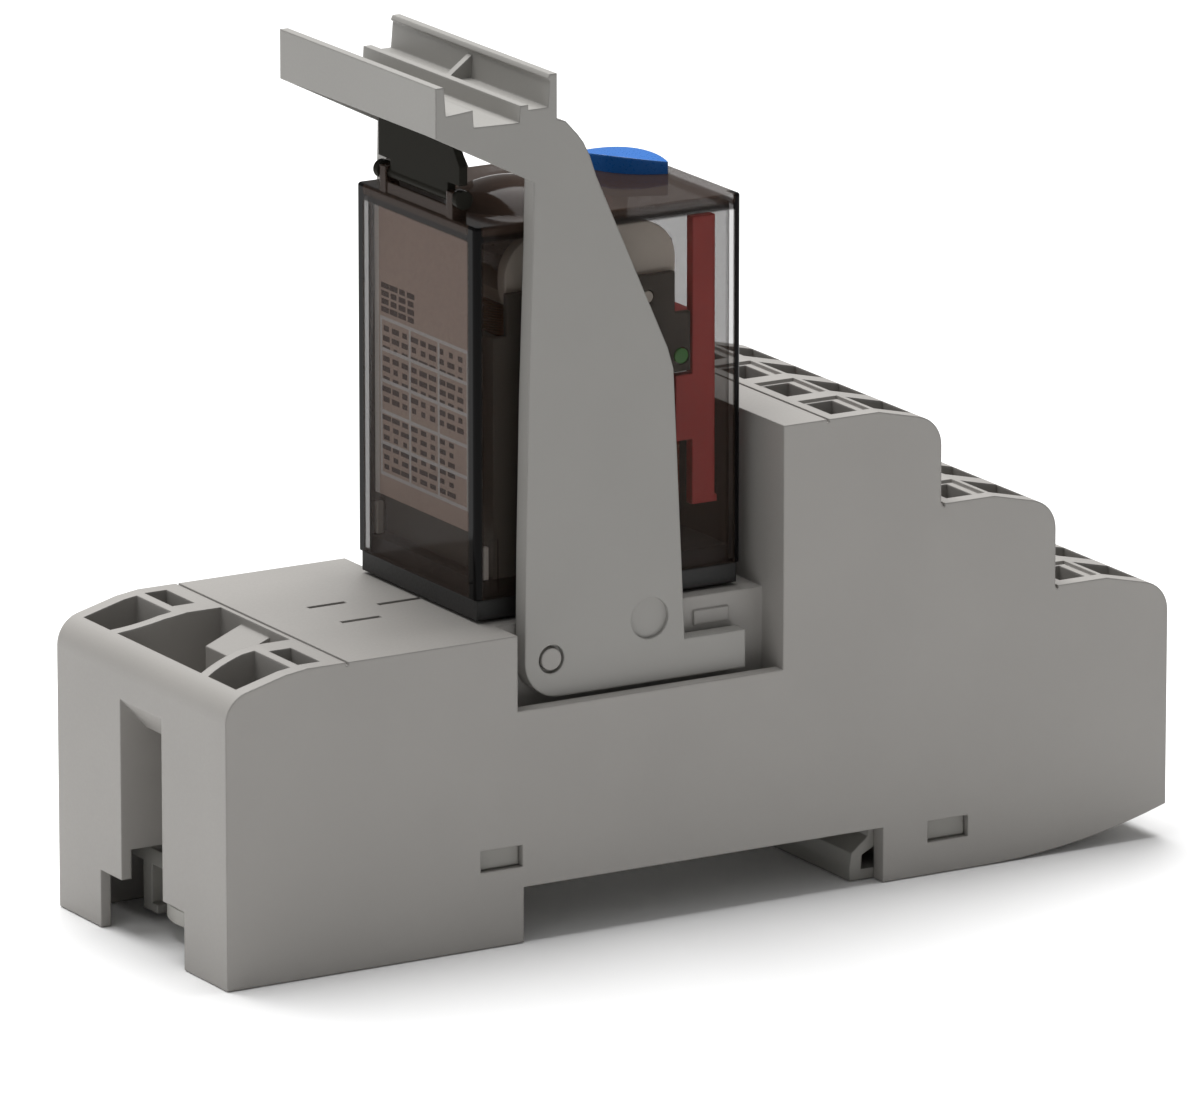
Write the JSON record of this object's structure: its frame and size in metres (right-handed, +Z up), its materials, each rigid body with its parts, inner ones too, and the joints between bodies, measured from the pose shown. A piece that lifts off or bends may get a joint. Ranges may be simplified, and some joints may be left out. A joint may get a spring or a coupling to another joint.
{
  "type": "relay module",
  "caption": "Plug-in relay under a smoked cover on a stepped rail-mount socket, with a retaining and ejecting lever, a test button and a sliding rail foot.",
  "frame": {"origin": "middle of the footprint at the lowest face", "axes": "+Z up, away from the rail; +X along the length, from the coil terminals to the contact terminals; +Y across the width"},
  "size_m": [0.0976, 0.031, 0.0781],
  "materials": {
    "housing": "satin",
    "carrier": "satin",
    "foot": "satin",
    "lever": "satin",
    "busbar": "satin",
    "spring_steel": "satin",
    "relay_base": "satin",
    "contact": "satin",
    "frame": "satin",
    "lamp": "gloss",
    "bobbin": "satin",
    "winding": "satin",
    "iron": "satin",
    "card": "satin",
    "cover": "gloss",
    "label": "matte",
    "flap": "gloss",
    "button": "gloss"
  },
  "bodies": {
    "socket": {"housing": "housing", "bottom_carrier": "carrier", "open_contact_busbars": "busbar", "closed_contact_busbars": "busbar", "common_busbars": "busbar", "coil_busbars": "busbar", "contact_wire_clamps": "spring_steel", "coil_wire_clamps": "spring_steel", "foot_spring": "spring_steel"},
    "foot": {"rail_foot": "foot"},
    "lever": {"retaining_lever": "lever"},
    "relay": {"relay_base": "relay_base", "closed_contacts": "contact", "open_contacts": "contact", "common_blades": "contact", "coil_blades": "contact", "insulating_frame": "frame", "status_lamp": "lamp", "coil_bobbin": "bobbin", "coil_winding": "winding", "coil_core": "iron", "yoke": "iron", "relay_cover": "cover", "type_label": "label"},
    "armature": {"armature": "iron", "armature_leaf_spring": "spring_steel", "actuating_card": "card"},
    "contact_springs": {"moving_contact_springs": "contact"},
    "flap": {"lock_flap": "flap"},
    "button": {"test_button": "button"}
  },
  "joints": [
    {"name": "lever_swing", "type": "hinge", "parent": "socket", "child": "lever", "pos_m": [-0.015, 0, 0.0251], "axis": [0, -1, 0], "range_deg": [0, 13]},
    {"name": "relay_lift", "type": "slide", "parent": "socket", "child": "relay", "axis": [0, 0, 1], "range_m": [0, 0.003]},
    {"name": "foot_slide", "type": "slide", "parent": "socket", "child": "foot", "axis": [-1, 0, 0], "range_m": [0, 0.0025], "stiffness_N_per_m": 800, "deforming": ["foot_spring"]},
    {"name": "test_press", "type": "slide", "parent": "relay", "child": "button", "axis": [0, 0, -1], "range_m": [0, 0.001], "stiffness_N_per_m": 300, "springref_m": -0.0005},
    {"name": "flap_fold", "type": "hinge", "parent": "relay", "child": "flap", "pos_m": [-0.02, 0, 0.066], "axis": [0, 1, 0], "range_deg": [0, 70]},
    {"name": "armature_tilt", "type": "hinge", "parent": "relay", "child": "armature", "pos_m": [0.0003, 0, 0.0585], "axis": [0, -1, 0], "range_deg": [0, 2], "stiffness_Nm_per_rad": 0.5, "springref_deg": -0.57},
    {"name": "contact_bend", "type": "hinge", "parent": "relay", "child": "contact_springs", "pos_m": [-0.0006, 0, 0.0315], "axis": [0, 1, 0], "range_deg": [0, 2.9]}
  ],
  "couplings": [
    {"joint": "lever_swing", "follows": "relay_lift", "rad_per_m": 75.6},
    {"joint": "contact_bend", "follows": "armature_tilt", "ratio": 1.435}
  ]
}
